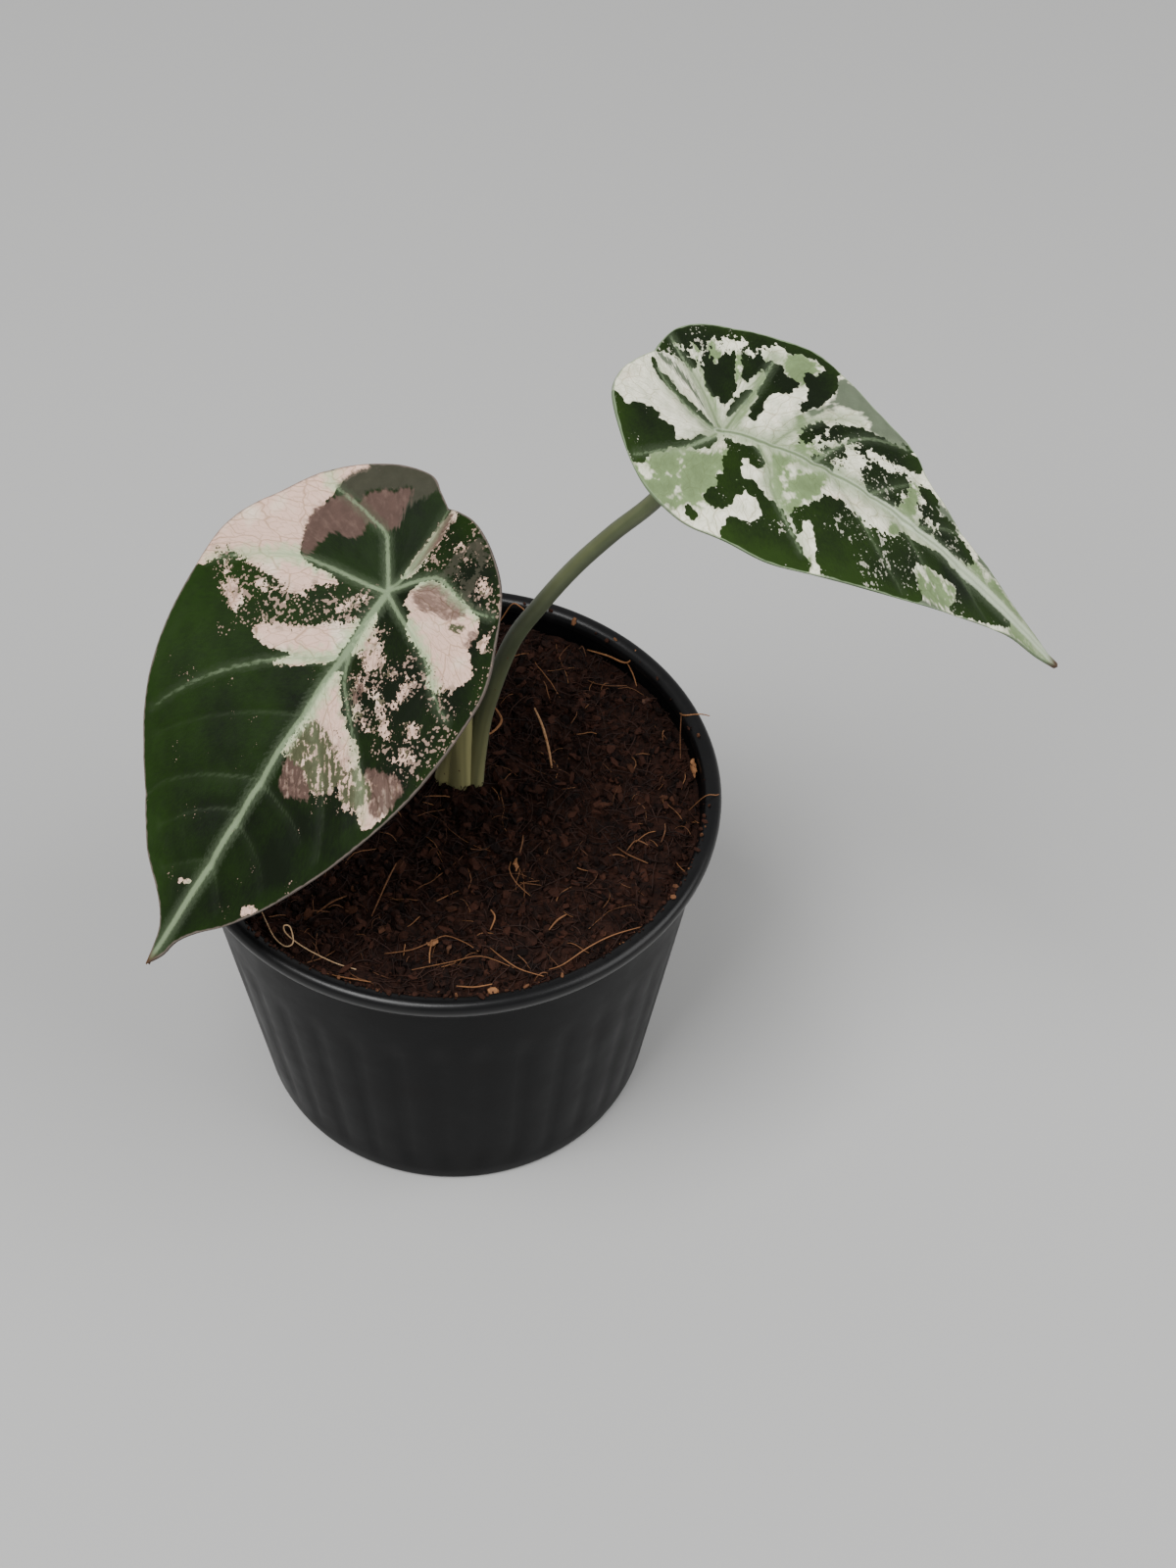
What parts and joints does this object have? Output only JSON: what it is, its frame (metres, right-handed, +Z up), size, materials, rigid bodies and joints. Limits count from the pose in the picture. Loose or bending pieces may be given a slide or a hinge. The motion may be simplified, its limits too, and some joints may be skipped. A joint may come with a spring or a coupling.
{
  "type": "potted alocasia plant",
  "caption": "Potted black velvet alocasia: broad heart-shaped leaves with a pink and cream marbled pattern, on slender stems in a round black nursery pot.",
  "frame": {"origin": "centre of the pot's flat underside", "axes": "+Z up along the pot's axis; the plant is seen from -Y, with the larger leaf to -X and the drooping leaf to +X"},
  "size_m": [0.1688, 0.108, 0.189],
  "materials": {
    "pot": "satin",
    "soil": "rough",
    "tuber": "matte",
    "stem": "satin",
    "leaf": "velvet"
  },
  "bodies": {
    "root": {"pot": "pot", "soil": "soil", "tuber": "tuber", "stem_left": "stem", "stem_right": "stem", "leaf_left": "leaf", "leaf_right": "leaf"}
  },
  "joints": []
}
